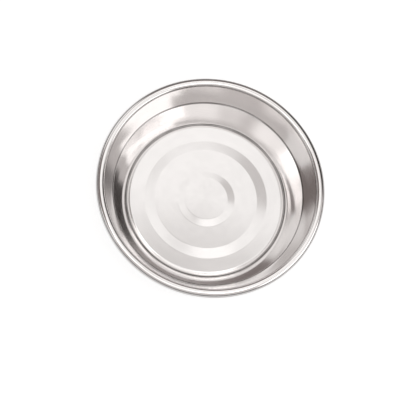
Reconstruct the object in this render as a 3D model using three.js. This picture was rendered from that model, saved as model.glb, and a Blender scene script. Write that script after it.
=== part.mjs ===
// A halwa plate: a round, deep serving plate pressed from one disc of stainless steel sheet.
// The base rises in two steps towards its middle, the wall flares in two stages, and the edge
// is rolled outwards and under, around a stiffening wire.
// Millimetres, +Z up. The origin is the centre of the foot ring, on the surface that the plate stands on.
import * as THREE from "three";

// Whole plate
const OUTER_DIAMETER = 150; // over the rolled edge
const OVERALL_HEIGHT = 30.3; // from the foot to the top of the rolled edge
const SHEET_THICKNESS = 0.6;
const BEND_RADIUS = 0.3; // on the inner side of each pressed bend

// Rolled edge and the wire inside it
const WIRE_DIAMETER = 4;
const WIRE_CLEARANCE = 0.3; // between the wire and the roll around it
const WIRE_END_GAP = 1; // between the two ends of the wire
const ROLL_GAP = 0.35; // between the cut edge of the sheet and the wall that it is rolled back to

// Wall, from the rolled edge inwards
const UPPER_WALL_RUN = 6.3; // how far the upper wall leans out, up to the inner side of the roll
const LEDGE_WIDTH = 0.5;
const LEDGE_RISE = 0.3;
const LEDGE_HEIGHT = 14.5; // of the ledge's inner edge, above the surface that the plate stands on
const LOWER_WALL_RUN = 9.5; // how far the lower wall leans out, up to the ledge

// Base, from the wall inwards to the middle
const FOOT_WIDTH = 0.7;
const SHOULDER_RUN = 1.4; // of the slope from the foot channel up to the base
const SHOULDER_RISE = 1.2;
const OUTER_RING_WIDTH = 10.1;
const OUTER_BAND_WIDTH = 6.8; // the sloping band between the two flat rings
const OUTER_BAND_RISE = 0.9;
const INNER_BAND_WIDTH = 5; // the sloping band around the centre disc
const INNER_BAND_RISE = 0.7;
const CENTRE_DISC_RADIUS = 14.2;

// Fineness of the faceted solids
const TURN_SEGMENTS = 60; // around the plate
const BEND_STEP = Math.PI / 6; // along a bend, and around the roll
const WIRE_SIDES = 10;

// Finishes
const POLISHED_STEEL = { color: 0xcfcac8, roughness: 0.2, metalness: 1 };
const DRAWN_WIRE = { color: 0x9c9894, roughness: 0.45, metalness: 1 };

// Places worked out from the sizes, as (radius, height) in the section of the plate
const rollRadius = WIRE_DIAMETER / 2 + WIRE_CLEARANCE + SHEET_THICKNESS;
const rollCentre = new THREE.Vector2(OUTER_DIAMETER / 2 - rollRadius, OVERALL_HEIGHT - rollRadius);

// A unit step in the direction of an angle.
function heading(angle) {
  return new THREE.Vector2(Math.cos(angle), Math.sin(angle));
}

// A point of the upper surface with its partner on the underside, square through the sheet.
// The upper surface is walked outwards, so the underside is on the right hand.
function throughSheet(upper, direction, distance = SHEET_THICKNESS) {
  const under = upper.clone().addScaledVector(heading(direction - Math.PI / 2), distance);
  return { upper, under };
}

// The smaller way round from one direction to another, positive to the left.
function turnBetween(from, to) {
  return Math.atan2(Math.sin(to - from), Math.cos(to - from));
}

// Sheet points around one corner of the upper surface: a sharp point where the turn is slight, and otherwise
// an arc with the bend radius on its inner side, which may take up to half of the flats beside it.
function bend(before, corner, after) {
  const arriving = corner.clone().sub(before);
  const leaving = after.clone().sub(corner);
  const turn = turnBetween(arriving.angle(), leaving.angle());
  const steps = Math.round(Math.abs(turn) / BEND_STEP);
  if (steps === 0) {
    return [throughSheet(corner, arriving.angle() + turn / 2, SHEET_THICKNESS / Math.cos(turn / 2))];
  }
  const wanted = turn > 0 ? BEND_RADIUS : BEND_RADIUS + SHEET_THICKNESS;
  const room = Math.min(arriving.length(), leaving.length()) / 2;
  const radius = Math.min(wanted, room / Math.tan(Math.abs(turn) / 2));
  const side = Math.sign(turn) * Math.PI / 2;
  const start = corner.clone().addScaledVector(heading(arriving.angle()), -radius * Math.tan(Math.abs(turn) / 2));
  const centre = start.clone().addScaledVector(heading(arriving.angle() + side), radius);
  return Array.from({ length: steps + 1 }, (_, step) => {
    const direction = arriving.angle() + turn * step / steps;
    const upper = centre.clone().addScaledVector(heading(direction + side), -radius);
    return throughSheet(upper, direction);
  });
}

// Corners of the upper surface from the axis out to the top of the ledge, where the upper wall starts.
function pressedCorners() {
  const ledgeOuter = rollCentre.x - rollRadius - UPPER_WALL_RUN;
  const ledgeInner = ledgeOuter - LEDGE_WIDTH;
  const footOuter = ledgeInner - LOWER_WALL_RUN;
  const footInner = footOuter - FOOT_WIDTH;
  const shoulder = footInner - SHOULDER_RUN;
  const outerBandOuter = shoulder - OUTER_RING_WIDTH;
  const outerBandInner = outerBandOuter - OUTER_BAND_WIDTH;
  const innerBandOuter = CENTRE_DISC_RADIUS + INNER_BAND_WIDTH;
  const footTop = SHEET_THICKNESS;
  const outerRing = footTop + SHOULDER_RISE;
  const middleRing = outerRing + OUTER_BAND_RISE;
  const centreDisc = middleRing + INNER_BAND_RISE;
  return [
    new THREE.Vector2(0, centreDisc),
    new THREE.Vector2(CENTRE_DISC_RADIUS, centreDisc),
    new THREE.Vector2(innerBandOuter, middleRing),
    new THREE.Vector2(outerBandInner, middleRing),
    new THREE.Vector2(outerBandOuter, outerRing),
    new THREE.Vector2(shoulder, outerRing),
    new THREE.Vector2(footInner, footTop),
    new THREE.Vector2(footOuter, footTop),
    new THREE.Vector2(ledgeInner, LEDGE_HEIGHT),
    new THREE.Vector2(ledgeOuter, LEDGE_HEIGHT + LEDGE_RISE),
  ];
}

// Angle about the middle of the roll at which a straight wall from the given point runs into it.
function rollStart(wallFoot) {
  const toCentre = rollCentre.clone().sub(wallFoot);
  return toCentre.angle() + Math.asin(rollRadius / toCentre.length()) + Math.PI / 2;
}

// Sheet points of the rolled edge: over the top, down the outside and back under to the wall,
// with a point at every step of the circle and one at each end.
function rolledEdge(start) {
  const wallToCutEdge = Math.acos((rollRadius - SHEET_THICKNESS - ROLL_GAP) / rollRadius);
  const end = start + wallToCutEdge - 2 * Math.PI;
  const angles = [start];
  for (let angle = Math.PI / 2 + BEND_STEP; angle > end + BEND_STEP / 2; angle -= BEND_STEP) {
    angles.push(angle);
  }
  angles.push(end);
  return angles.map((angle) => {
    const upper = rollCentre.clone().addScaledVector(heading(angle), rollRadius);
    return throughSheet(upper, angle - Math.PI / 2);
  });
}

// The pressed sheet: its closed section, turned about the plate's axis.
function pressedDish() {
  const corners = pressedCorners();
  const start = rollStart(corners.at(-1));
  const wallTop = rollCentre.clone().addScaledVector(heading(start), rollRadius);
  const path = [...corners, wallTop];
  const sheet = [throughSheet(corners[0], 0)];
  for (let index = 1; index < corners.length; index += 1) {
    sheet.push(...bend(path[index - 1], path[index], path[index + 1]));
  }
  sheet.push(...rolledEdge(start));
  const underside = sheet.map((point) => point.under);
  const upperSurface = sheet.map((point) => point.upper).reverse();
  const dish = new THREE.Mesh(
    new THREE.LatheGeometry([...underside, ...upperSurface], TURN_SEGMENTS),
    new THREE.MeshStandardMaterial(POLISHED_STEEL),
  );
  dish.name = "pressed_dish";
  dish.rotation.x = Math.PI / 2;
  return dish;
}

// The line that the rim wire follows: a level circle that stops short of itself by the gap between its ends.
class WireLine extends THREE.Curve {
  getPoint(share, target = new THREE.Vector3()) {
    const gapAngle = WIRE_END_GAP / rollCentre.x;
    const angle = gapAngle / 2 + share * (2 * Math.PI - gapAngle);
    return target.set(rollCentre.x * Math.cos(angle), rollCentre.x * Math.sin(angle), 0);
  }
}

// The stiffening wire inside the rolled edge.
function rimWire() {
  const section = new THREE.Shape().absarc(0, 0, WIRE_DIAMETER / 2, 0, 2 * Math.PI);
  const geometry = new THREE.ExtrudeGeometry(section, {
    extrudePath: new WireLine(),
    steps: TURN_SEGMENTS,
    curveSegments: WIRE_SIDES / 2, // a closed arc is cut into twice as many sides
    bevelEnabled: false,
  });
  const wire = new THREE.Mesh(geometry, new THREE.MeshStandardMaterial(DRAWN_WIRE));
  wire.name = "rim_wire";
  wire.position.z = rollCentre.y;
  return wire;
}

const plate = new THREE.Group();
plate.add(pressedDish(), rimWire());

export default plate;
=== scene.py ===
"""Looks of a halwa plate: a round, deep serving plate of pressed stainless steel with a rolled, wired rim.

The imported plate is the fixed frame, in metres with +Z up. One class builds and dresses the pressed dish, one dresses
the wire inside its rim, and the stage, the light and the camera each have a class of their own.
"""

import logging
import math
from dataclasses import dataclass
from enum import Enum

import bpy
import numpy as np
from mathutils import Matrix, Vector


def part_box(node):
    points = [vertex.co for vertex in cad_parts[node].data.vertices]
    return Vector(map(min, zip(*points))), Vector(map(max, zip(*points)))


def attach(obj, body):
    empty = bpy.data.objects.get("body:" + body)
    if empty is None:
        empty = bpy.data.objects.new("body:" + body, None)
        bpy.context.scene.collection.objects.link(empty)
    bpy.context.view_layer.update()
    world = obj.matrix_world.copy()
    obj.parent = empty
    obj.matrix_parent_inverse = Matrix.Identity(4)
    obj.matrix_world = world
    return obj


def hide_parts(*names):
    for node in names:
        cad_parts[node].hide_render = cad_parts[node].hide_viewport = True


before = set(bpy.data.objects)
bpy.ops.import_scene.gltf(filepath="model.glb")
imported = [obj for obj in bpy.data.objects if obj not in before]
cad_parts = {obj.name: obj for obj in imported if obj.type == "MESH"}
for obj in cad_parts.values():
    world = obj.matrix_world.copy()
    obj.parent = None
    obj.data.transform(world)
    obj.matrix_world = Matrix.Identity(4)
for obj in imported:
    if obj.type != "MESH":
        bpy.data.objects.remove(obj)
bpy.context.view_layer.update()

LOG = logging.getLogger("halwa_plate")
MM = 0.001
ROOT_BODY = "root"
WALK = "section_walk"

Colour = tuple[float, float, float]
Span = tuple[float, float]
Value = bpy.types.NodeSocket | float | tuple[float, ...]

WHITE: Colour = (1.0, 1.0, 1.0)


def directions(angles: np.ndarray) -> np.ndarray:
    """Unit steps in a plane, (cos a, sin a), one row for each angle."""
    return np.stack([np.cos(angles), np.sin(angles)], axis=-1)


def wrapped(angle: float) -> float:
    """The same angle, brought between minus and plus half a turn."""
    return math.atan2(math.sin(angle), math.cos(angle))


def ring_quads(rings: int, around: int) -> list[list[int]]:
    """Four-sided faces between rings of points that follow one another.

    Face (i, j) joins points j and j + 1 of rings i and i + 1.

    Args:
        rings: how many rings there are.
        around: how many points a ring has.

    Returns:
        Corner lists.
    """
    here = np.arange(around)
    beside = np.roll(here, -1)
    first = (np.arange(rings - 1) * around)[:, None]
    quads = np.stack([first + here, first + around + here, first + around + beside, first + beside], axis=-1)
    return quads.reshape(-1, 4).tolist()


def pole_fan(pole: int, first: np.ndarray, second: np.ndarray) -> list[list[int]]:
    """Three-sided faces from a pole to each pair of neighbours on the ring beside it."""
    return np.stack([np.full(len(first), pole), first, second], axis=-1).tolist()


def turned_faces(rings: int, around: int) -> list[list[int]]:
    """Faces of a turned surface whose points are rings, one after another, and then a first and a last pole.

    Args:
        rings: how many rings there are.
        around: how many points a ring has.

    Returns:
        Corner lists of the faces between the rings and of the fans that close both ends.
    """
    here = np.arange(around)
    beside = np.roll(here, -1)
    first_pole = rings * around
    last_ring = first_pole - around
    opening = pole_fan(first_pole, here, beside)
    closing = pole_fan(first_pole + 1, last_ring + beside, last_ring + here)
    return ring_quads(rings, around) + opening + closing


def placed(name: str, points: np.ndarray, faces: list[list[int]]) -> bpy.types.Object:
    """A new mesh in the scene, on an object that sits at the origin.

    Args:
        name: of the object and of its mesh.
        points: (n, 3) places of its points.
        faces: corner lists.

    Returns:
        The object.
    """
    mesh = bpy.data.meshes.new(name)
    mesh.from_pydata(points, [], faces)
    piece = bpy.data.objects.new(name, mesh)
    bpy.context.scene.collection.objects.link(piece)
    return piece


class Join(Enum):
    """How two numbers are joined by a math node."""

    ADD = "ADD"
    SUBTRACT = "SUBTRACT"
    MULTIPLY = "MULTIPLY"
    DIVIDE = "DIVIDE"
    LARGER = "MAXIMUM"


class VectorStep(Enum):
    """What a vector math node works out, and the output that holds it."""

    ADD = ("ADD", "Vector")
    MULTIPLY = ("MULTIPLY", "Vector")
    NORMALIZE = ("NORMALIZE", "Vector")
    DOT = ("DOT_PRODUCT", "Value")
    LENGTH = ("LENGTH", "Value")


class NodeBench:
    """A bench for one node tree: it adds nodes, sets or links their sockets, and hands back output sockets."""

    def __init__(self, tree: bpy.types.NodeTree) -> None:
        """Start on an emptied tree."""
        self.tree = tree
        self.tree.nodes.clear()

    def feed(self, socket: bpy.types.NodeSocket, value: Value) -> None:
        """Link a socket to an input, or set a number or colour on it.

        Args:
            socket: what is fed.
            value: an output socket, a number, or a vector or colour, which may leave out its opacity.
        """
        if isinstance(value, bpy.types.NodeSocket):
            self.tree.links.new(value, socket)
        elif isinstance(value, tuple) and len(socket.default_value) > len(value):
            socket.default_value = (*value, 1.0)
        else:
            socket.default_value = value

    def add(self, kind: str, inputs: dict[str | int, Value], **settings: object) -> bpy.types.Node:
        """Add a node.

        Args:
            kind: Blender's name of the node type.
            inputs: what goes into its sockets, by name or by number.
            settings: its other properties.

        Returns:
            The new node.
        """
        node = self.tree.nodes.new(kind)
        for name, setting in settings.items():
            setattr(node, name, setting)
        for key, value in inputs.items():
            self.feed(node.inputs[key], value)
        return node

    def number(self, join: Join, first: Value, second: Value) -> bpy.types.NodeSocket:
        """Two numbers joined in one."""
        return self.add("ShaderNodeMath", {0: first, 1: second}, operation=join.value).outputs[0]

    def distance(self, first: Value, second: float) -> bpy.types.NodeSocket:
        """How far apart two numbers are."""
        apart = self.number(Join.SUBTRACT, first, second)
        return self.add("ShaderNodeMath", {0: apart}, operation="ABSOLUTE").outputs[0]

    def ramp(self, value: Value, start: float, end: float, low: float, high: float) -> bpy.types.NodeSocket:
        """A smooth step: low before start, high after end."""
        inputs = {"Value": value, "From Min": start, "From Max": end, "To Min": low, "To Max": high}
        return self.add("ShaderNodeMapRange", inputs, interpolation_type="SMOOTHSTEP").outputs[0]

    def blend(self, share: Value, first: Value, second: Value) -> bpy.types.NodeSocket:
        """A mix of two colours.

        Args:
            share: how much of the second colour there is, from 0 to 1.
            first: the colour where the share is 0.
            second: the colour where the share is 1.

        Returns:
            The mixed colour.
        """
        node = self.add("ShaderNodeMix", {"Factor": share}, data_type="RGBA")
        sockets = [socket for socket in node.inputs if socket.type == "RGBA"]
        self.feed(sockets[0], first)
        self.feed(sockets[1], second)
        return next(socket for socket in node.outputs if socket.type == "RGBA")

    def vector(self, step: VectorStep, *values: Value) -> bpy.types.NodeSocket:
        """A vector, or one number, worked out from vectors."""
        operation, output = step.value
        return self.add("ShaderNodeVectorMath", dict(enumerate(values)), operation=operation).outputs[output]

    def scaled(self, vector: Value, scale: Value) -> bpy.types.NodeSocket:
        """A vector or colour times a number."""
        return self.add("ShaderNodeVectorMath", {0: vector, "Scale": scale}, operation="SCALE").outputs["Vector"]

    def place(self) -> bpy.types.NodeSocket:
        """The place on the piece, in its object's own coordinates."""
        return self.add("ShaderNodeTexCoord", {}).outputs["Object"]

    def flattened(self, place: Value) -> bpy.types.NodeSocket:
        """A place with its height left out."""
        return self.vector(VectorStep.MULTIPLY, place, (1.0, 1.0, 0.0))


def new_material(name: str) -> tuple[bpy.types.Material, NodeBench]:
    """A new material, with nothing in its node tree yet.

    Args:
        name: of the material.

    Returns:
        The material and the bench for its nodes.
    """
    material = bpy.data.materials.new(name)
    material.use_nodes = True
    return material, NodeBench(material.node_tree)


@dataclass(frozen=True)
class SectionMarks:
    """Distances walked along the dish's section from the middle of its upper side, where the finish changes.

    Args:
        foot: to the foot of the wall, at the outer corner of the foot channel.
        ledge: to the corner between the ledge and the upper wall.
        roll: to the start of the rolled edge.
        cut_edge: to the cut edge, where the underside begins.
    """

    foot: float
    ledge: float
    roll: float
    cut_edge: float


@dataclass(frozen=True)
class CreaseShadeLine:
    """Painted shade along an inner corner of the sheet.

    Args:
        width: how far it reaches to each side of the corner.
        share: how much of the steel it covers at the corner.
    """

    width: float
    share: float

    def cover(self, bench: NodeBench, walk: Value, corner: float) -> bpy.types.NodeSocket:
        """The share of painted shade, falling from the corner to nothing at the line's width."""
        return bench.ramp(bench.distance(walk, corner), 0.0, self.width, self.share, 0.0)


@dataclass(frozen=True)
class SteelFinish:
    """Stainless steel sheet, polished while it spins.

    Fine marks run around the plate and draw its reflections out along the section, and the inner corners are darkened
    with painted shade.

    Args:
        tint: colour of the steel.
        crease_shade_tint: colour of the painted shade in the inner corners.
        painted_base_shade: painted shade on the base, which dims its tint to this share of the wall's.
        ring_dimming: the tint of the dullest rings as a share of the brightest ones'.
        base_roughness: of the base, up to the foot of the wall.
        wall_roughness: of the wall.
        roll_roughness: of the rolled edge.
        underside_roughness: of the sheet past its cut edge.
        mark_roughness: how much rougher or smoother a fine mark is than its zone.
        brushing: how strongly the marks draw reflections out, from 0 to 1.
        brushing_turn: a quarter of a turn, because the marks run around the plate and draw out across themselves.
        mark_pitch: distance between fine marks.
        ring_pitch: distance between the broader rings.
        mark_arc: how often marks and rings change on their way around the plate.
        mark_detail: finer layers in the noise of marks and rings.
        mark_depth: depth of the fine marks.
        mark_strength: how much of that depth shows.
        mark_span: part of the noise over which fine marks change.
        ring_span: part of the noise over which rings change.
        patch_span: part of the noise over which the painted corner shade changes.
        patch_share: how much of the painted corner shade is left in its thinnest patches, as a share.
        foot_crease_shade: painted shade in the corner at the foot of the wall.
        ledge_crease_shade: painted shade in the corner of the ledge.
        roll_crease_shade: painted shade in the corner below the roll.
        zone_blend: width over which one zone passes into the next.
    """

    tint: Colour = (0.89, 0.868, 0.864)
    # colour of the painted shade in the inner corners
    crease_shade_tint: Colour = (0.06, 0.05, 0.045)
    # painted shade on the base
    painted_base_shade: float = 0.93
    ring_dimming: float = 0.97
    base_roughness: float = 0.15
    wall_roughness: float = 0.09
    roll_roughness: float = 0.12
    underside_roughness: float = 0.22
    mark_roughness: float = 0.015
    brushing: float = 0.7
    brushing_turn: float = 0.25
    mark_pitch: float = 0.3 * MM
    ring_pitch: float = 5.0 * MM
    mark_arc: float = 4.0
    mark_detail: float = 3.0
    mark_depth: float = 0.004 * MM
    mark_strength: float = 0.15
    mark_span: Span = (0.25, 0.75)
    ring_span: Span = (0.3, 0.7)
    patch_span: Span = (0.2, 0.8)
    patch_share: float = 0.7
    # painted shade in the inner corners, each with its width and darkest share
    foot_crease_shade: CreaseShadeLine = CreaseShadeLine(1.4 * MM, 0.95)
    ledge_crease_shade: CreaseShadeLine = CreaseShadeLine(1.0 * MM, 0.9)
    roll_crease_shade: CreaseShadeLine = CreaseShadeLine(0.9 * MM, 0.85)
    zone_blend: float = 0.6 * MM

    def around_marks(self, bench: NodeBench, walk: Value, pitch: float) -> bpy.types.NodeSocket:
        """Noise drawn out around the plate.

        The noise is read at (a cos t, a sin t, walk / pitch), with t the angle about the plate's axis, so it changes
        quickly across the section and slowly around it, with no seam.

        Args:
            bench: the material's bench.
            walk: distance along the section.
            pitch: distance between marks.

        Returns:
            The noise, from 0 to 1.
        """
        level = bench.vector(VectorStep.NORMALIZE, bench.flattened(bench.place()))
        across = bench.add("ShaderNodeCombineXYZ", {"Z": bench.number(Join.DIVIDE, walk, pitch)}).outputs[0]
        point = bench.vector(VectorStep.ADD, bench.scaled(level, self.mark_arc), across)
        noise = bench.add("ShaderNodeTexNoise", {"Vector": point, "Scale": 1.0, "Detail": self.mark_detail})
        return noise.outputs[0]

    def material(self, marks: SectionMarks) -> bpy.types.Material:
        """The finish of the whole sheet, zone by zone along the section.

        Args:
            marks: where the zones meet.

        Returns:
            The material, which reads the dish's walk attribute.
        """
        steel, bench = new_material("polished_steel")
        walk = bench.add("ShaderNodeAttribute", {}, attribute_name=WALK).outputs["Fac"]
        fine = self.around_marks(bench, walk, self.mark_pitch)
        rings = self.around_marks(bench, walk, self.ring_pitch)
        # painted shade dims the base's colour up to the foot of the wall, and the broad rings then vary the tone at
        # random
        zone = bench.ramp(walk, marks.foot - self.zone_blend, marks.foot, self.painted_base_shade, 1.0)
        shade = bench.number(Join.MULTIPLY, zone, bench.ramp(rings, *self.ring_span, self.ring_dimming, 1.0))
        # painted shade darkens the inner corners at the wall's foot, on the ledge and below the roll
        crease_shade = self.crease_shade(bench, walk, marks, rings)
        bump = bench.add("ShaderNodeBump", {
            "Height": fine,
            "Strength": self.mark_strength,
            "Distance": self.mark_depth,
        })
        tangent = bench.add("ShaderNodeTangent", {}, direction_type="RADIAL", axis="Z")
        surface = bench.add("ShaderNodeBsdfPrincipled", {
            "Base Color": bench.blend(crease_shade, bench.scaled(self.tint, shade), self.crease_shade_tint),
            "Metallic": 1.0,
            "Roughness": self.roughness(bench, walk, marks, fine),
            "Anisotropic": self.brushing,
            "Anisotropic Rotation": self.brushing_turn,
            "Normal": bump.outputs[0],
            "Tangent": tangent.outputs[0],
        })
        bench.add("ShaderNodeOutputMaterial", {"Surface": surface.outputs[0]})
        return steel

    def roughness(
        self, bench: NodeBench, walk: Value, marks: SectionMarks, fine: Value,
    ) -> bpy.types.NodeSocket:
        """Roughness by zone, with the fine marks a little rougher and smoother than their zone.

        Args:
            bench: the material's bench.
            walk: distance along the section.
            marks: where the zones meet.
            fine: the fine marks, from 0 to 1.

        Returns:
            The roughness.
        """
        steps = (
            (marks.foot, self.wall_roughness - self.base_roughness),
            (marks.roll, self.roll_roughness - self.wall_roughness),
            (marks.cut_edge, self.underside_roughness - self.roll_roughness),
        )
        smoothest, roughest = self.base_roughness - self.mark_roughness, self.base_roughness + self.mark_roughness
        total = bench.ramp(fine, *self.mark_span, smoothest, roughest)
        half = self.zone_blend / 2
        for place, change in steps:
            total = bench.number(Join.ADD, total, bench.ramp(walk, place - half, place + half, 0.0, change))
        return total

    def crease_shade(self, bench: NodeBench, walk: Value, marks: SectionMarks, rings: Value) -> bpy.types.NodeSocket:
        """Share of painted shade in the inner corners: strongest at the wall's foot, on the ledge and below the roll,
        and patchy.

        Args:
            bench: the material's bench.
            walk: distance along the section.
            marks: where the corners are.
            rings: patchiness, from 0 to 1.

        Returns:
            The share, from 0 to 1.
        """
        foot = self.foot_crease_shade.cover(bench, walk, marks.foot)
        ledge = self.ledge_crease_shade.cover(bench, walk, marks.ledge)
        roll = self.roll_crease_shade.cover(bench, walk, marks.roll)
        corners = bench.number(Join.LARGER, bench.number(Join.LARGER, foot, ledge), roll)
        patches = bench.ramp(rings, *self.patch_span, self.patch_share, 1.0)
        return bench.number(Join.MULTIPLY, corners, patches)


@dataclass(frozen=True)
class WireFinish:
    """Plain drawn wire: dull grey, with draw lines along its length.

    Args:
        tint: colour of the wire.
        line_tint: colour in the draw lines.
        roughness: of the wire.
        line_roughness: how much rougher or smoother a draw line is.
        line_pitch: distance between draw lines.
        line_detail: finer layers in their noise.
        tint_span: part of the noise over which the colour changes.
        rough_span: part of the noise over which the roughness changes.
    """

    tint: Colour = (0.5, 0.48, 0.46)
    line_tint: Colour = (0.34, 0.32, 0.31)
    roughness: float = 0.42
    line_roughness: float = 0.06
    line_pitch: float = 0.25 * MM
    line_detail: float = 2.0
    tint_span: Span = (0.35, 0.65)
    rough_span: Span = (0.3, 0.7)

    def material(self, ring_radius: float) -> bpy.types.Material:
        """The wire's finish, with noise that changes across the wire and hardly along it.

        Args:
            ring_radius: radius of the ring that the wire is bent to.

        Returns:
            The material.
        """
        wire, bench = new_material("drawn_wire")
        place = bench.place()
        from_axis = bench.vector(VectorStep.LENGTH, bench.flattened(place))
        height = bench.add("ShaderNodeSeparateXYZ", {0: place}).outputs["Z"]
        out = bench.number(Join.SUBTRACT, from_axis, ring_radius)
        across = bench.add("ShaderNodeCombineXYZ", {"X": out, "Y": height}).outputs[0]
        noise = bench.add("ShaderNodeTexNoise", {
            "Vector": across,
            "Scale": 1.0 / self.line_pitch,
            "Detail": self.line_detail,
        })
        lines = noise.outputs[0]
        smoothest, roughest = self.roughness - self.line_roughness, self.roughness + self.line_roughness
        surface = bench.add("ShaderNodeBsdfPrincipled", {
            "Base Color": bench.blend(bench.ramp(lines, *self.tint_span, 0.0, 1.0), self.tint, self.line_tint),
            "Metallic": 1.0,
            "Roughness": bench.ramp(lines, *self.rough_span, smoothest, roughest),
        })
        bench.add("ShaderNodeOutputMaterial", {"Surface": surface.outputs[0]})
        return wire


@dataclass(frozen=True)
class Path:
    """A line walked through the plate's section.

    Args:
        points: (n, 2) radius and height of each point.
        headings: (n,) direction of the walk at each point, as an angle from outwards.
    """

    points: np.ndarray
    headings: np.ndarray

    def then(self, other: "Path") -> "Path":
        """This path with another one walked after it."""
        return Path(np.vstack([self.points, other.points]), np.concatenate([self.headings, other.headings]))

    def back_along(self, distance: float) -> "Path":
        """The way back at a distance on the right hand.

        Each point moves square to its heading, point + distance * (sin h, -cos h), and the order and the headings
        turn round.

        Args:
            distance: how far to the right of this path the way back runs.

        Returns:
            The path back, from this path's end to its start.
        """
        moved = self.points + distance * directions(self.headings - math.pi / 2)
        return Path(moved[::-1], self.headings[::-1] + math.pi)

    def normals(self) -> np.ndarray:
        """Unit steps to the left of the walk, which is out of the metal all round the section."""
        return directions(self.headings + math.pi / 2)

    def walk(self) -> np.ndarray:
        """Distance walked from the start to each point, the sum of the steps between points."""
        steps = np.hypot(*np.diff(self.points, axis=0).T)
        return np.concatenate([[0.0], np.cumsum(steps)])

    def walk_to(self, place: np.ndarray) -> float:
        """Distance walked from the start to the point nearest to a place."""
        return float(self.walk()[np.argmin(np.hypot(*(self.points - place).T))])


def straight(start: np.ndarray, end: np.ndarray, spacing: float) -> Path:
    """Points strictly between two ends, start + (end - start) * share, no further apart than a spacing.

    Args:
        start: (2,) first end, left out.
        end: (2,) last end, left out.
        spacing: the widest gap between points.

    Returns:
        The points between the ends, all with the heading from start to end.
    """
    run = end - start
    length = math.hypot(run[0], run[1])
    count = max(math.ceil(length / spacing) - 1, 0)
    share = np.linspace(0.0, 1.0, count + 2)[1:-1, None]
    return Path(start + run * share, np.full(count, math.atan2(run[1], run[0])))


def arc(centre: np.ndarray, radius: float, first: float, last: float, step: float) -> Path:
    """Points on a circle, centre + radius * (cos a, sin a), from one angle about its middle to another.

    Args:
        centre: (2,) middle of the circle.
        radius: its radius.
        first: angle of the first point.
        last: angle of the last point, below the first one for a walk clockwise.
        step: the widest angle between points.

    Returns:
        The points with both ends, headed along the circle.
    """
    rounding = 1e-9
    count = max(math.ceil(abs(last - first) / step - rounding), 1) + 1
    angles = np.linspace(first, last, count)
    quarter = math.copysign(math.pi / 2, last - first)
    return Path(centre + radius * directions(angles), angles + quarter)


@dataclass(frozen=True)
class Fineness:
    """How closely the turned dish is divided.

    Args:
        around: points around the plate.
        flat_spacing: widest gap between points along a flat.
        bend_step: widest angle between points along a bend.
        bend_parts: fewest parts that a bend is divided into.
        roll_step: widest angle between points around the roll.
        edge_step: widest angle between points around the cut edge.
    """

    around: int = 360
    flat_spacing: float = 2.5 * MM
    bend_step: float = math.radians(6.0)
    bend_parts: int = 3
    roll_step: float = math.radians(7.5)
    edge_step: float = math.radians(30.0)


@dataclass(frozen=True)
class Corner:
    """One corner of the dish's upper surface.

    Args:
        radius: its distance from the plate's axis.
        height: above the table.
        bend: radius of its bend, on the inner side of the sheet.
    """

    radius: float
    height: float
    bend: float

    def place(self) -> np.ndarray:
        """The corner as (radius, height)."""
        return np.array([self.radius, self.height])


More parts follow.
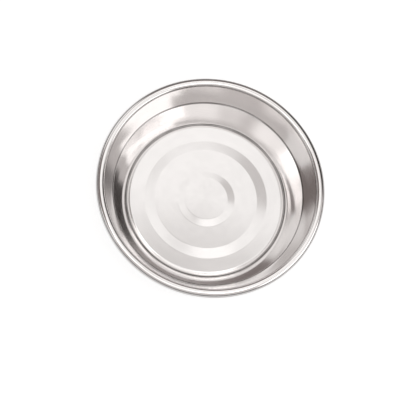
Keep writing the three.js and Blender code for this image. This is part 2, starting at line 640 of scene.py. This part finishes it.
@dataclass
class PressedDish:
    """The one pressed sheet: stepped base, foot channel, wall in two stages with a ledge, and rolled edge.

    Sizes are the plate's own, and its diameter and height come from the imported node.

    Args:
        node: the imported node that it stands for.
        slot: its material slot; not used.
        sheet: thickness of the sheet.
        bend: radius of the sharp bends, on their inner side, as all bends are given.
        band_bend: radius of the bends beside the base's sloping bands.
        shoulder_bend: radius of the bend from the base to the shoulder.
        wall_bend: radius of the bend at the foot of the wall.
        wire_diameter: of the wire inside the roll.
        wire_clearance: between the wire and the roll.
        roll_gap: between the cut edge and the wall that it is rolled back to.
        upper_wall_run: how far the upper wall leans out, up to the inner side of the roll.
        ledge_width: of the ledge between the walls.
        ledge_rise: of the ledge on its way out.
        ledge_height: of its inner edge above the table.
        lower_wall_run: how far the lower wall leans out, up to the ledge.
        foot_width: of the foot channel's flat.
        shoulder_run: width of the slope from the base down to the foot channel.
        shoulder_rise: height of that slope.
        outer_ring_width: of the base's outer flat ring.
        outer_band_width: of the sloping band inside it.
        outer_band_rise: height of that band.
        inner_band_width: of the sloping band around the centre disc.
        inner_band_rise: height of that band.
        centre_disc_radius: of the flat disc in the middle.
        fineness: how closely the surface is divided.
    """

    node: str = "pressed_dish"
    slot: str = "polished_steel"
    sheet: float = 0.6 * MM
    bend: float = 0.3 * MM
    band_bend: float = 5.0 * MM
    shoulder_bend: float = 2.6 * MM
    wall_bend: float = 1.0 * MM
    wire_diameter: float = 4.0 * MM
    wire_clearance: float = 0.3 * MM
    roll_gap: float = 0.35 * MM
    upper_wall_run: float = 6.3 * MM
    ledge_width: float = 0.5 * MM
    ledge_rise: float = 0.3 * MM
    ledge_height: float = 14.5 * MM
    lower_wall_run: float = 9.5 * MM
    foot_width: float = 0.7 * MM
    shoulder_run: float = 1.4 * MM
    shoulder_rise: float = 1.2 * MM
    outer_ring_width: float = 10.1 * MM
    outer_band_width: float = 6.8 * MM
    outer_band_rise: float = 0.9 * MM
    inner_band_width: float = 5.0 * MM
    inner_band_rise: float = 0.7 * MM
    centre_disc_radius: float = 14.2 * MM
    fineness: Fineness = Fineness()

    def __post_init__(self) -> None:
        """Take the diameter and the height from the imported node, and place the middle of the roll."""
        _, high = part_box(self.node)
        self.roll_radius = self.wire_diameter / 2 + self.wire_clearance + self.sheet
        self.roll_centre = np.array([high.x - self.roll_radius, high.z - self.roll_radius])

    def corners(self) -> list[Corner]:
        """Corners of the upper surface, each radius and height worked out from the one beside it.

        Returns:
            The corners from the centre disc out to the top of the ledge.
        """
        ledge_outer = self.roll_centre[0] - self.roll_radius - self.upper_wall_run
        ledge_inner = ledge_outer - self.ledge_width
        foot_outer = ledge_inner - self.lower_wall_run
        foot_inner = foot_outer - self.foot_width
        shoulder = foot_inner - self.shoulder_run
        outer_band_outer = shoulder - self.outer_ring_width
        outer_band_inner = outer_band_outer - self.outer_band_width
        outer_ring = self.sheet + self.shoulder_rise
        middle_ring = outer_ring + self.outer_band_rise
        centre_disc = middle_ring + self.inner_band_rise
        return [
            Corner(self.centre_disc_radius, centre_disc, self.band_bend),
            Corner(self.centre_disc_radius + self.inner_band_width, middle_ring, self.band_bend),
            Corner(outer_band_inner, middle_ring, self.band_bend),
            Corner(outer_band_outer, outer_ring, self.band_bend),
            Corner(shoulder, outer_ring, self.shoulder_bend),
            Corner(foot_inner, self.sheet, self.bend),
            Corner(foot_outer, self.sheet, self.wall_bend),
            Corner(ledge_inner, self.ledge_height, self.bend),
            Corner(ledge_outer, self.ledge_height + self.ledge_rise, self.bend),
        ]

    def bent(self, before: np.ndarray, corner: Corner, after: np.ndarray) -> Path:
        """The arc that stands in for one corner of the upper surface.

        The arc is tangent to both legs, so it starts radius * tan(turn / 2) before the corner. A corner that turns
        right has the bend's inner side below the sheet, so its radius grows by the sheet.

        Args:
            before: (2,) the corner before.
            corner: the corner to round.
            after: (2,) the corner after.

        Returns:
            The points of the arc.
        """
        arrive, leave = corner.place() - before, after - corner.place()
        heading = math.atan2(arrive[1], arrive[0])
        turn = wrapped(math.atan2(leave[1], leave[0]) - heading)
        radius = corner.bend + (self.sheet if turn < 0 else 0.0)
        start = corner.place() - radius * math.tan(abs(turn) / 2) * directions(np.array(heading))
        side = math.copysign(math.pi / 2, turn)
        centre = start + radius * directions(np.array(heading + side))
        step = min(self.fineness.bend_step, abs(turn) / self.fineness.bend_parts)
        return arc(centre, radius, heading - side, heading - side + turn, step)

    def roll_start(self) -> float:
        """Where the straight upper wall runs into the roll: the touching point of the line from the ledge to it.

        Returns:
            The angle of that point about the roll's middle.
        """
        run = self.roll_centre - self.corners()[-1].place()
        lean = math.asin(self.roll_radius / math.hypot(run[0], run[1]))
        return math.atan2(run[1], run[0]) + lean + math.pi / 2

    def wall_top(self) -> np.ndarray:
        """Where the upper wall runs into the roll, as (radius, height)."""
        return self.roll_centre + self.roll_radius * directions(np.array(self.roll_start()))

    def upper_surface(self) -> Path:
        """The upper surface: flats and bends from corner to corner, and then the circle of the roll.

        Returns:
            The path from the axis outwards to the cut edge inside the roll.
        """
        corners = self.corners()
        spacing = self.fineness.flat_spacing
        axis = np.array([0.0, corners[0].height])
        places = [axis, *(corner.place() for corner in corners), self.wall_top()]
        walked = Path(axis[None, :], np.zeros(1))
        for corner, before, after in zip(corners, places[:-2], places[2:]):
            bend = self.bent(before, corner, after)
            walked = walked.then(straight(walked.points[-1], bend.points[0], spacing)).then(bend)
        to_cut_edge = math.acos((self.roll_radius - self.sheet - self.roll_gap) / self.roll_radius)
        first = self.roll_start()
        last = first + to_cut_edge - math.tau
        roll = arc(self.roll_centre, self.roll_radius, first, last, self.fineness.roll_step)
        return walked.then(straight(walked.points[-1], self.wall_top(), spacing)).then(roll)

    def marks(self) -> SectionMarks:
        """Where the finish changes, found as the nearest points of the upper surface.

        Returns:
            The distances walked to them.
        """
        upper = self.upper_surface()
        *_, wall_foot, _, ledge = self.corners()
        return SectionMarks(
            foot=upper.walk_to(wall_foot.place()),
            ledge=upper.walk_to(ledge.place()),
            roll=upper.walk_to(self.wall_top()),
            cut_edge=float(upper.walk()[-1]),
        )

    def section(self) -> Path:
        """The closed section: out along the upper surface, round the cut edge and back along the underside.

        The cut edge is half a circle, as wide as the sheet.

        Returns:
            The path, which starts and ends on the axis.
        """
        upper = self.upper_surface()
        end, heading = upper.points[-1], float(upper.headings[-1])
        right = heading - math.pi / 2
        middle = end + self.sheet / 2 * directions(np.array(right))
        left = heading + math.pi / 2
        edge = arc(middle, self.sheet / 2, left, left - math.pi, self.fineness.edge_step)
        inner_edge = Path(edge.points[1:-1], edge.headings[1:-1])
        return upper.then(inner_edge).then(upper.back_along(self.sheet))

    def build(self) -> bpy.types.Object:
        """Turn the section about the axis: (r cos t, r sin t, z) for each section point and each angle t.

        Each point keeps the section's own normal and its distance walked, and one point on the axis closes each end.

        Returns:
            The dish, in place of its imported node.
        """
        section = self.section()
        radius, height = section.points[1:-1].T
        normal_out, normal_up = section.normals()[1:-1].T
        spin = directions(np.linspace(0.0, math.tau, self.fineness.around, endpoint=False))
        rings = np.empty((len(radius), len(spin), 3))
        rings[..., :2] = radius[:, None, None] * spin
        rings[..., 2] = height[:, None]
        normals = np.empty_like(rings)
        normals[..., :2] = normal_out[:, None, None] * spin
        normals[..., 2] = normal_up[:, None]
        top, bottom = section.points[0, 1], section.points[-1, 1]
        points = np.vstack([rings.reshape(-1, 3), [[0.0, 0.0, top], [0.0, 0.0, bottom]]])
        point_normals = np.vstack([normals.reshape(-1, 3), [[0.0, 0.0, 1.0], [0.0, 0.0, -1.0]]])
        walk = section.walk()
        point_walk = np.concatenate([np.repeat(walk[1:-1], len(spin)), walk[[0, -1]]])
        dish = placed("plate_dish", points, turned_faces(len(radius), len(spin)))
        dish.data.shade_smooth()
        dish.data.normals_split_custom_set_from_vertices(point_normals)
        dish.data.attributes.new(WALK, "FLOAT", "POINT").data.foreach_set("value", point_walk.astype(np.float32))
        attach(dish, ROOT_BODY)
        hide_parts(self.node)
        return dish

    def dress(self, dish: bpy.types.Object, finish: SteelFinish) -> None:
        """Give the dish its finish."""
        dish.data.materials.append(finish.material(self.marks()))


@dataclass
class RimWire:
    """The stiffening wire inside the rolled edge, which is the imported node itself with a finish.

    Args:
        node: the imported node.
    """

    node: str = "rim_wire"

    def dress(self, finish: WireFinish) -> bpy.types.Object:
        """Give the wire its finish, with its ring radius taken from its own box.

        Args:
            finish: of the wire.

        Returns:
            The wire.
        """
        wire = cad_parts[self.node]
        low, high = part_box(self.node)
        ring_radius = high.x - (high.z - low.z) / 2
        wire.data.materials.clear()
        wire.data.materials.append(finish.material(ring_radius))
        return wire


@dataclass(frozen=True)
class PaleFloor:
    """The plain white floor that the plate stands on. It keeps the plate's shadow, and is clear from below.

    Args:
        radius: of the floor.
        around: points around it.
        drop: how far it lies below the plate's foot.
        paper: its colour in the tent's light.
        glow: what is added to it where the camera sees it, for a white background.
        mirrored_glow: what is added to it where the steel mirrors it.
    """

    radius: float = 0.46
    around: int = 96
    drop: float = 0.02 * MM
    paper: Colour = (0.4, 0.4, 0.4)
    glow: float = 0.8
    mirrored_glow: float = 0.35

    def build(self) -> bpy.types.Object:
        """A disc at the plate's foot: points (r cos t, r sin t), joined in one face.

        Returns:
            The floor.
        """
        turn = np.linspace(0.0, math.tau, self.around, endpoint=False)
        points = np.column_stack([self.radius * directions(turn), np.full(self.around, -self.drop)])
        floor = placed("floor", points, [list(range(self.around))])
        floor.data.materials.append(self.material())
        return floor

    def material(self) -> bpy.types.Material:
        """White paper: a diffuse face with a glow, weaker where steel mirrors it, and clear from behind.

        Returns:
            The material.
        """
        paper, bench = new_material("white_paper")
        path = bench.add("ShaderNodeLightPath", {}).outputs
        seen = bench.number(Join.LARGER, path["Is Camera Ray"], path["Is Transmission Ray"])
        seen_glow = bench.number(Join.MULTIPLY, seen, self.glow)
        mirrored_glow = bench.number(Join.MULTIPLY, path["Is Glossy Ray"], self.mirrored_glow)
        strength = bench.number(Join.LARGER, seen_glow, mirrored_glow)
        face = bench.add("ShaderNodeBsdfDiffuse", {"Color": self.paper}).outputs[0]
        glow = bench.add("ShaderNodeEmission", {"Strength": strength}).outputs[0]
        front = bench.add("ShaderNodeAddShader", {0: face, 1: glow}).outputs[0]
        clear = bench.add("ShaderNodeBsdfTransparent", {}).outputs[0]
        behind = bench.add("ShaderNodeNewGeometry", {}).outputs["Backfacing"]
        both = bench.add("ShaderNodeMixShader", {0: behind, 1: front, 2: clear}).outputs[0]
        bench.add("ShaderNodeOutputMaterial", {"Surface": both})
        return paper


class Cloth(Enum):
    """What a part of the tent shows, as a tint: a lamp's light, plain cloth, or a gap to a dim and warm room."""

    LAMP = (1.01, 1.0, 0.985)
    PLAIN = (1.03, 0.99, 0.97)
    GAP = (1.12, 0.97, 0.93)

    def at(self, level: float) -> Colour:
        """The colour at a brightness."""
        red, green, blue = self.value
        return (level * red, level * green, level * blue)


@dataclass(frozen=True)
class TentPatch:
    """A soft round patch on the tent's cloth, lighter or darker than the rest.

    Args:
        name: what it stands for, as the label of its node.
        azimuth: where its middle is, in degrees from +X towards +Y.
        elevation: of its middle above the floor, in degrees.
        reach: half its width in degrees, to the middle of its soft edge.
        softness: half the width of its soft edge in degrees.
        level: its brightness, with 1 for white.
        cloth: what it shows.
    """

    name: str
    azimuth: float
    elevation: float
    reach: float
    softness: float
    level: float
    cloth: Cloth = Cloth.LAMP

    def middle(self) -> tuple[float, float, float]:
        """The direction of its middle from the plate."""
        turn, rise = math.radians(self.azimuth), math.radians(self.elevation)
        return (math.cos(rise) * math.cos(turn), math.cos(rise) * math.sin(turn), math.sin(rise))

    def share(self, bench: NodeBench, towards: Value) -> bpy.types.NodeSocket:
        """How far a direction lies in the patch, by the cosine of its angle from the patch's middle.

        Args:
            bench: the material's bench.
            towards: the direction from the plate.

        Returns:
            The share, from 0 outside to 1 inside.
        """
        cosine = bench.vector(VectorStep.DOT, towards, self.middle())
        outer = math.cos(math.radians(self.reach + self.softness))
        inner = math.cos(math.radians(self.reach - self.softness))
        return bench.ramp(cosine, outer, inner, 0.0, 1.0)


@dataclass(frozen=True)
class LightTent:
    """The tent of pale cloth around the plate: one even level, with lamps behind it and a few darker gaps.

    It lights the plate and shows in the steel, and the camera looks through it.

    Args:
        radius: of the tent.
        rings: rings of points from the floor up.
        around: points around each ring.
        level: brightness of the plain cloth.
        patches: lamps and gaps, each laid over those before it.
        hem: how high the dark hem reaches above the floor, in degrees.
        hem_softness: half the width of the hem's soft edge in degrees.
        hem_level: brightness of the hem.
    """

    radius: float = 0.5
    rings: int = 24
    around: int = 96
    level: float = 0.6
    patches: tuple[TentPatch, ...] = (
        TentPatch("curtain_far", 100, 12, 35, 3, 0.2, Cloth.GAP),
        TentPatch("gap_far_right", 57, 28, 18, 3, 0.04, Cloth.GAP),
        TentPatch("curtain_left", 183, 44, 22, 2, 0.18, Cloth.GAP),
        TentPatch("panel_right", 357, 27, 24, 2, 1.5),
        TentPatch("panel_left", 150, 28, 13, 5, 0.95),
        TentPatch("panel_near", 212, 24, 12, 2, 0.9),
        TentPatch("lamp_near", 270, 64, 13, 4, 1.3),
        TentPatch("lamp_top", 77, 84, 28, 5, 1.1),
        TentPatch("lamp_right", 323, 68, 11, 1, 1.8),
        TentPatch("lamp_left", 213, 67, 10, 1, 1.8),
        TentPatch("shade_top", 90, 79, 8.5, 4, 0.6, Cloth.PLAIN),
        TentPatch("lamp_far", 102, 61, 13, 5, 1.14),
        TentPatch("lamp_high", 22, 81, 7, 3, 1.25),
        TentPatch("frame_far", 66, 53, 9, 3, 0.66, Cloth.PLAIN),
    )
    hem: float = 15.0
    hem_softness: float = 5.0
    hem_level: float = 0.03

    def build(self) -> bpy.types.Object:
        """A dome on the floor: radius * (cos e cos t, cos e sin t, sin e) over elevation e and angle t.

        Returns:
            The tent, which the camera doesn't see.
        """
        rise = np.linspace(0.0, math.pi / 2, self.rings, endpoint=False)
        spin = directions(np.linspace(0.0, math.tau, self.around, endpoint=False))
        dome = np.empty((self.rings, self.around, 3))
        dome[..., :2] = self.radius * np.cos(rise)[:, None, None] * spin
        dome[..., 2] = self.radius * np.sin(rise)[:, None]
        points = np.vstack([dome.reshape(-1, 3), [[0.0, 0.0, self.radius]]])
        top = self.rings * self.around
        last_ring = np.arange(top - self.around, top)
        crown = pole_fan(top, np.roll(last_ring, -1), last_ring)
        tent = placed("light_tent", points, ring_quads(self.rings, self.around) + crown)
        tent.data.materials.append(self.material())
        tent.visible_camera = False
        return tent

    def material(self) -> bpy.types.Material:
        """Glowing cloth whose colour changes patch by patch with the direction from the plate.

        Returns:
            The material.
        """
        cloth, bench = new_material("tent_cloth")
        towards = bench.vector(VectorStep.NORMALIZE, bench.place())
        light: Value = Cloth.PLAIN.at(self.level)
        for patch in self.patches:
            laid = bench.blend(patch.share(bench, towards), light, patch.cloth.at(patch.level))
            laid.node.label = patch.name
            light = laid
        low = math.sin(math.radians(self.hem - self.hem_softness))
        high = math.sin(math.radians(self.hem + self.hem_softness))
        rise = bench.add("ShaderNodeSeparateXYZ", {0: towards}).outputs["Z"]
        light = bench.blend(bench.ramp(rise, low, high, 1.0, 0.0), light, Cloth.PLAIN.at(self.hem_level))
        glow = bench.add("ShaderNodeEmission", {"Color": light}).outputs[0]
        bench.add("ShaderNodeOutputMaterial", {"Surface": glow})
        return cloth


@dataclass(frozen=True)
class WhiteRoom:
    """The plain white room outside the tent.

    Args:
        level: its brightness for everything but the camera, with 1 for white.
    """

    level: float = 0.8

    def build(self) -> bpy.types.World:
        """Make the world: white to the camera, and a plain level to everything else.

        Returns:
            The world.
        """
        world = bpy.data.worlds.new("white_room")
        world.use_nodes = True
        bench = NodeBench(world.node_tree)
        camera = bench.add("ShaderNodeLightPath", {}).outputs["Is Camera Ray"]
        seen = bench.blend(camera, (self.level,) * 3, WHITE)
        background = bench.add("ShaderNodeBackground", {"Color": seen})
        bench.add("ShaderNodeOutputWorld", {"Surface": background.outputs[0]})
        bpy.context.scene.world = world
        return world


@dataclass(frozen=True)
class PhotoView:
    """The camera, standing where the photograph was taken.

    Args:
        elevation: of the line of sight above the table.
        roll: how far the picture is turned clockwise.
        distance: from the camera to the middle of the base.
        focal: focal length in pixels of the frame.
        frame_side: side of the square frame in pixels.
        base_pixel: where the middle of the base lands in the frame, from the left and from the top.
        base_height: height of that middle above the table.
    """

    elevation: float = math.radians(70.5)
    roll: float = math.radians(22.7)
    distance: float = 2.0
    focal: float = 3037.0
    frame_side: float = 416.0
    base_pixel: tuple[float, float] = (205.7, 199.3)
    base_height: float = 1.8 * MM

    def build(self) -> bpy.types.Object:
        """Place the camera so that the middle of the base lands on its pixel, and make it the scene's camera.

        Returns:
            The camera.
        """
        back = Vector((0.0, -math.cos(self.elevation), math.sin(self.elevation)))
        level = Vector((1.0, 0.0, 0.0))
        upright = back.cross(level)
        right = level * math.cos(self.roll) + upright * math.sin(self.roll)
        up = upright * math.cos(self.roll) - level * math.sin(self.roll)
        aside = (self.base_pixel[0] - self.frame_side / 2) / self.focal
        below = (self.base_pixel[1] - self.frame_side / 2) / self.focal
        base = Vector((0.0, 0.0, self.base_height))
        place = base - self.distance * (aside * right - below * up - back)
        data = bpy.data.cameras.new("photo_view")
        data.lens = data.sensor_width * self.focal / self.frame_side
        camera = bpy.data.objects.new("photo_view", data)
        camera.matrix_world = Matrix.Translation(place) @ Matrix((right, up, back)).transposed().to_4x4()
        bpy.context.scene.collection.objects.link(camera)
        bpy.context.scene.camera = camera
        return camera


def main() -> None:
    """Build and dress the plate, then the stage, the light and the camera, and log each piece."""
    logging.basicConfig(level=logging.INFO, format="%(name)s: %(message)s")
    dish = PressedDish()
    piece = dish.build()
    dish.dress(piece, SteelFinish())
    LOG.info("%s: %d faces", piece.name, len(piece.data.polygons))
    wire = RimWire().dress(WireFinish())
    LOG.info("%s: %d faces", wire.name, len(wire.data.polygons))
    floor = PaleFloor().build()
    tent = LightTent().build()
    LOG.info("%s and %s: stage", floor.name, tent.name)
    world = WhiteRoom().build()
    camera = PhotoView().build()
    LOG.info("%s and %s: set", world.name, camera.name)
    bpy.context.scene.view_settings.view_transform = "Standard"


if __name__ == "__main__":
    main()
